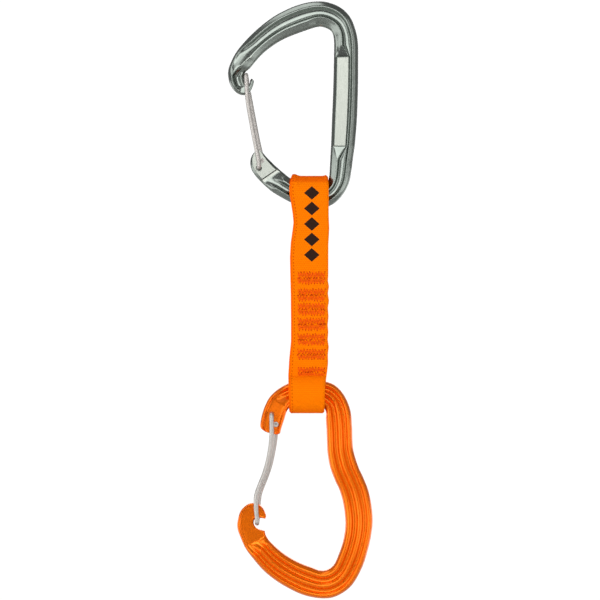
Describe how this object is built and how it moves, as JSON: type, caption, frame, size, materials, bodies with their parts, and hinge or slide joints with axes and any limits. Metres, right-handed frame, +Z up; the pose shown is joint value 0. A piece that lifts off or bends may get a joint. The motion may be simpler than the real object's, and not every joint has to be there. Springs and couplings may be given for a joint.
{
  "type": "climbing quickdraw",
  "caption": "Climbing quickdraw: a straight wire-gate carabiner and a bent wire-gate carabiner joined by a short sewn webbing sling.",
  "frame": {"origin": "bolt seat: the highest point of the upper carabiner's inner edge, where a bolt hanger carries the quickdraw", "axes": "+Z up along the hanging quickdraw, +X towards the spines with the gates on the -X side, +Y from front to back through the flat of the carabiners"},
  "size_m": [0.069, 0.0194, 0.2845],
  "materials": {
    "grey_anodised": "satin anodised, forged",
    "orange_anodised": "glossy anodised, forged",
    "gate_wire": "bright drawn stainless wire",
    "webbing": "woven polyamide webbing",
    "tack_thread": "bonded polyamide thread"
  },
  "bodies": {
    "upper_carabiner": {"upper_carabiner_body": "grey_anodised"},
    "upper_gate": {"upper_gate_wire": "gate_wire"},
    "sling_loop": {"webbing_upper_loop": "webbing"},
    "sling_strap": {"webbing_sewn_strap": "webbing", "bar_tack_1": "tack_thread", "bar_tack_2": "tack_thread", "bar_tack_3": "tack_thread", "bar_tack_4": "tack_thread", "bar_tack_5": "tack_thread", "bar_tack_6": "tack_thread", "bar_tack_7": "tack_thread"},
    "lower_carabiner": {"lower_carabiner_body": "orange_anodised"},
    "lower_gate": {"lower_gate_wire": "gate_wire"}
  },
  "joints": [
    {"name": "upper_gate_hinge", "type": "hinge", "parent": "upper_carabiner", "child": "upper_gate", "pos_m": [-0.02835, 0, -0.0656], "axis": [0, 1, 0], "range_deg": [0, 38], "stiffness_Nm_per_rad": 0.2, "springref_deg": -20.05},
    {"name": "sling_swing", "type": "hinge", "parent": "upper_carabiner", "child": "sling_loop", "pos_m": [-0.0052, 0, -0.0807], "axis": [1, 0, 0], "range_deg": [-90, 90]},
    {"name": "webbing_twist", "type": "hinge", "parent": "sling_loop", "child": "sling_strap", "pos_m": [-0.0052, 0, -0.11415], "axis": [0, 0, 1], "range_deg": [-90, 90], "stiffness_Nm_per_rad": 0.01},
    {"name": "lower_carabiner_swing", "type": "hinge", "parent": "sling_strap", "child": "lower_carabiner", "pos_m": [-0.0052, 0, -0.175], "axis": [1, 0, 0], "range_deg": [-90, 90]},
    {"name": "lower_gate_hinge", "type": "hinge", "parent": "lower_carabiner", "child": "lower_gate", "pos_m": [-0.022, 0, -0.18695], "axis": [0, -1, 0], "range_deg": [0, 34], "stiffness_Nm_per_rad": 0.2, "springref_deg": -20.05}
  ]
}
